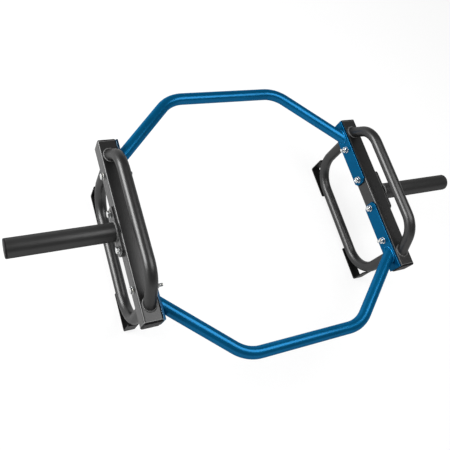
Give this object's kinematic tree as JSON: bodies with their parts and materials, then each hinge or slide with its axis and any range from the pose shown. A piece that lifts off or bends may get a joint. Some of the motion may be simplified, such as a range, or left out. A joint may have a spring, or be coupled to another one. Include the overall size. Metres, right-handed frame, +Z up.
{
  "type": "hex trap bar",
  "caption": "Hexagonal lifting bar with a bolted frame of bent tube to stand inside, raised and low side handles, feet that stand it off the floor and outer sleeves for weight plates.",
  "frame": {"origin": "on the floor under the middle of the frame, at the centre of the bounding box's base", "axes": "+X along the sleeves to the right, +Y along the side beams to the rear, +Z up"},
  "size_m": [1.4, 0.8, 0.35],
  "materials": {
    "blue_powder_coat": "gloss powder coat",
    "charcoal_powder_coat": "semi-gloss powder coat",
    "black_powder_coat": "satin powder coat",
    "black_plastic": "moulded, fine grain",
    "zinc_plated_steel": "bright zinc plate"
  },
  "bodies": {
    "root": {"left_side_beam": "charcoal_powder_coat", "left_upper_handle": "charcoal_powder_coat", "left_lower_frame": "charcoal_powder_coat", "left_sleeve_flange": "charcoal_powder_coat", "left_sleeve": "charcoal_powder_coat", "left_sleeve_cap": "black_plastic", "left_front_beam_cap": "black_plastic", "left_front_foot": "black_powder_coat", "left_front_joint_plate": "blue_powder_coat", "left_rear_beam_cap": "black_plastic", "left_rear_foot": "black_powder_coat", "left_rear_joint_plate": "blue_powder_coat", "left_head_washers": "zinc_plated_steel", "left_bolts": "zinc_plated_steel", "left_nut_washers": "zinc_plated_steel", "left_nuts": "zinc_plated_steel", "right_side_beam": "charcoal_powder_coat", "right_upper_handle": "charcoal_powder_coat", "right_lower_frame": "charcoal_powder_coat", "right_sleeve_flange": "charcoal_powder_coat", "right_sleeve": "charcoal_powder_coat", "right_sleeve_cap": "black_plastic", "right_front_beam_cap": "black_plastic", "right_front_foot": "black_powder_coat", "right_front_joint_plate": "blue_powder_coat", "right_rear_beam_cap": "black_plastic", "right_rear_foot": "black_powder_coat", "right_rear_joint_plate": "blue_powder_coat", "right_head_washers": "zinc_plated_steel", "right_bolts": "zinc_plated_steel", "right_nut_washers": "zinc_plated_steel", "right_nuts": "zinc_plated_steel", "front_frame_tube": "blue_powder_coat", "rear_frame_tube": "blue_powder_coat"}
  },
  "joints": []
}
